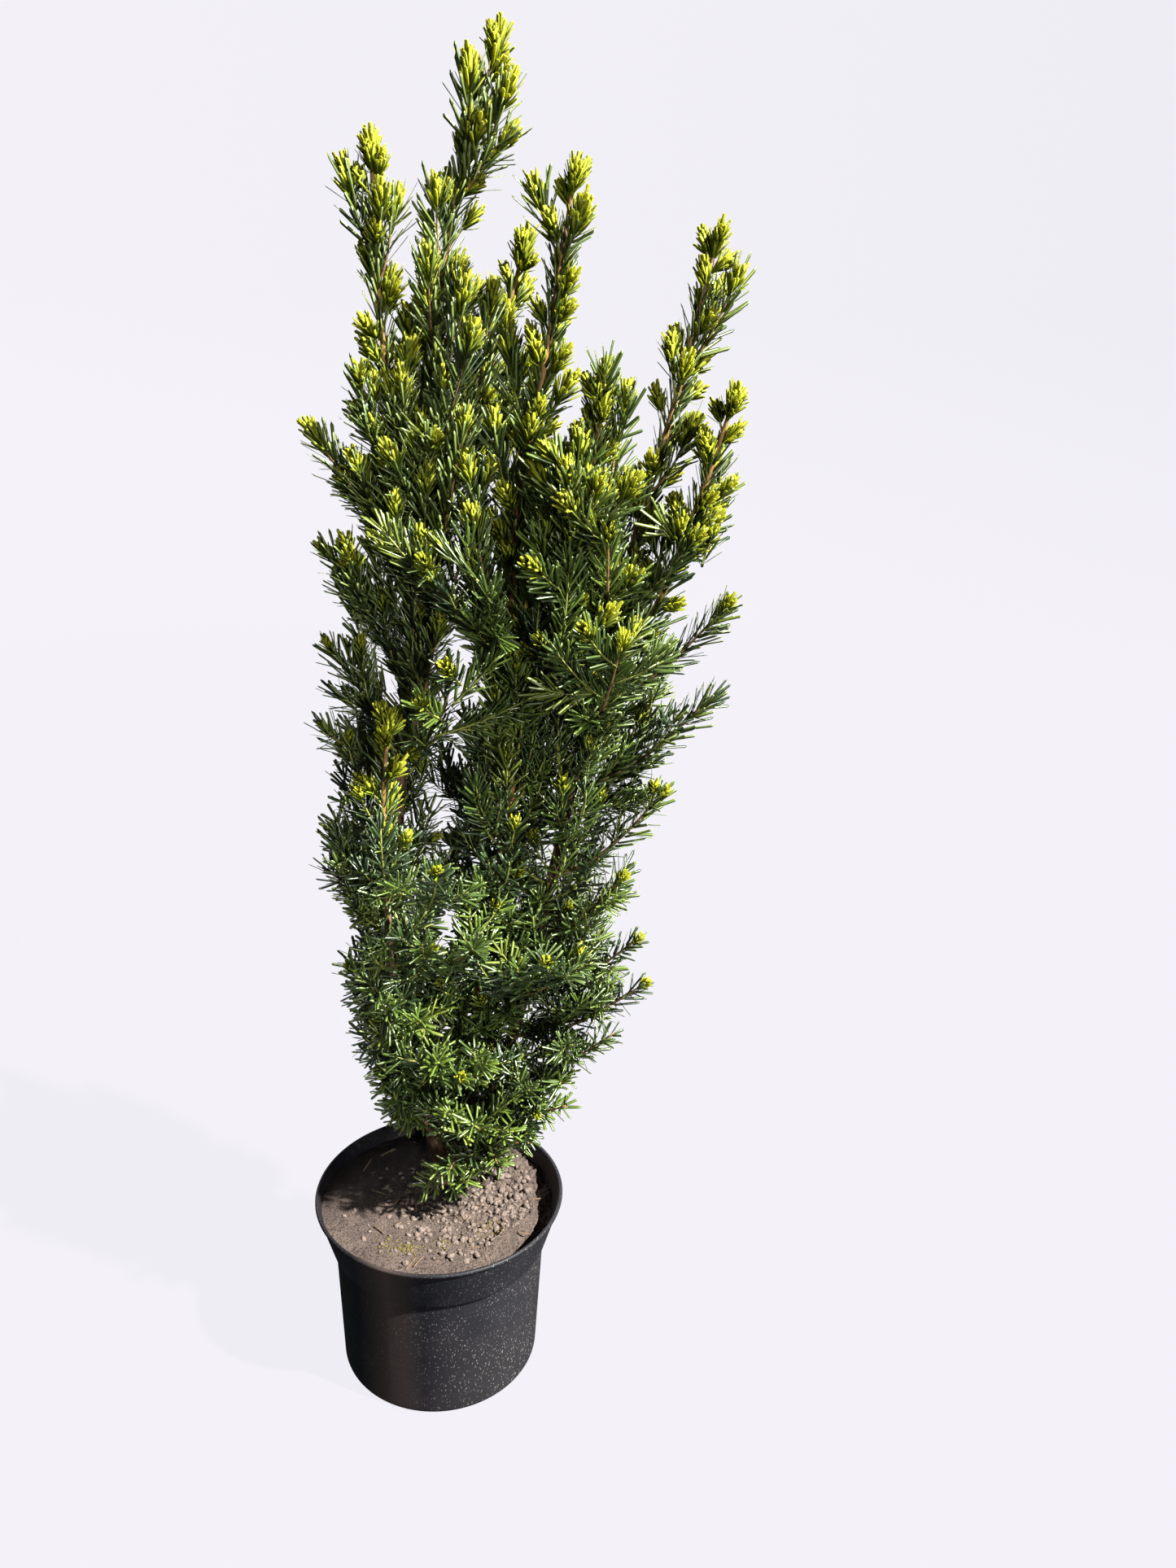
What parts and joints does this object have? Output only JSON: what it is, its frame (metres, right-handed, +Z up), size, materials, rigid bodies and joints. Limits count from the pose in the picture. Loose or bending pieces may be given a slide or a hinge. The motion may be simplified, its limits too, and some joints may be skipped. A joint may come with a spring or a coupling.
{
  "type": "potted columnar yew",
  "caption": "Upright multi-stemmed yew with flat evergreen needles and pale new tips, growing in a round black nursery pot with a flared collar.",
  "frame": {"origin": "centre of the pot's flat underside", "axes": "+Z up along the pot's axis, +X to the viewer's right and -Y towards the viewer of the picture"},
  "size_m": [0.4348, 0.3079, 1.3901],
  "materials": {
    "pot_plastic": "matte moulded black, lightly scuffed",
    "potting_soil": "dry crumbly compost",
    "bark": "thin flaking reddish-brown bark",
    "needles": "waxy dark green needles",
    "young_needles": "soft lime-yellow new growth at the tips of green needles"
  },
  "bodies": {
    "root": {"back_leader": "bark", "back_leader_shoot_1": "needles", "back_leader_shoot_2": "needles", "back_leader_shoot_3": "needles", "back_leader_top": "needles", "front_leader": "bark", "front_leader_shoot_1": "needles", "front_leader_shoot_2": "needles", "front_leader_top": "young_needles", "inner_leader": "bark", "inner_leader_shoot_1": "needles", "inner_leader_top": "young_needles", "low_left_stem": "bark", "low_left_stem_shoot_1": "needles", "low_left_stem_shoot_2": "needles", "low_left_stem_shoot_3": "needles", "low_left_stem_top": "needles", "middle_leader": "bark", "middle_leader_shoot_1": "needles", "middle_leader_shoot_2": "needles", "middle_leader_shoot_3": "needles", "middle_leader_shoot_4": "needles", "middle_leader_shoot_5": "needles", "middle_leader_shoot_6": "needles", "middle_leader_shoot_7": "needles", "middle_leader_shoot_8": "needles", "middle_leader_top": "young_needles", "outer_right_leader": "bark", "outer_right_leader_shoot_1": "needles", "outer_right_leader_shoot_2": "needles", "outer_right_leader_top": "young_needles", "pot": "pot_plastic", "right_leader": "bark", "right_leader_shoot_1": "needles", "right_leader_shoot_2": "needles", "right_leader_shoot_3": "needles", "right_leader_shoot_4": "needles", "right_leader_shoot_5": "needles", "right_leader_shoot_6": "needles", "right_leader_shoot_7": "needles", "right_leader_shoot_8": "needles", "right_leader_shoot_9": "needles", "right_leader_top": "young_needles", "soil": "potting_soil", "trunk": "bark", "trunk_shoot_1": "needles", "trunk_shoot_10": "needles", "trunk_shoot_2": "needles", "trunk_shoot_3": "needles", "trunk_shoot_4": "needles", "trunk_shoot_5": "needles", "trunk_shoot_6": "needles", "trunk_shoot_7": "needles", "trunk_shoot_8": "needles", "trunk_shoot_9": "needles", "trunk_top": "young_needles", "upper_left_leader": "bark", "upper_left_leader_shoot_1": "needles", "upper_left_leader_top": "young_needles"}
  },
  "joints": []
}
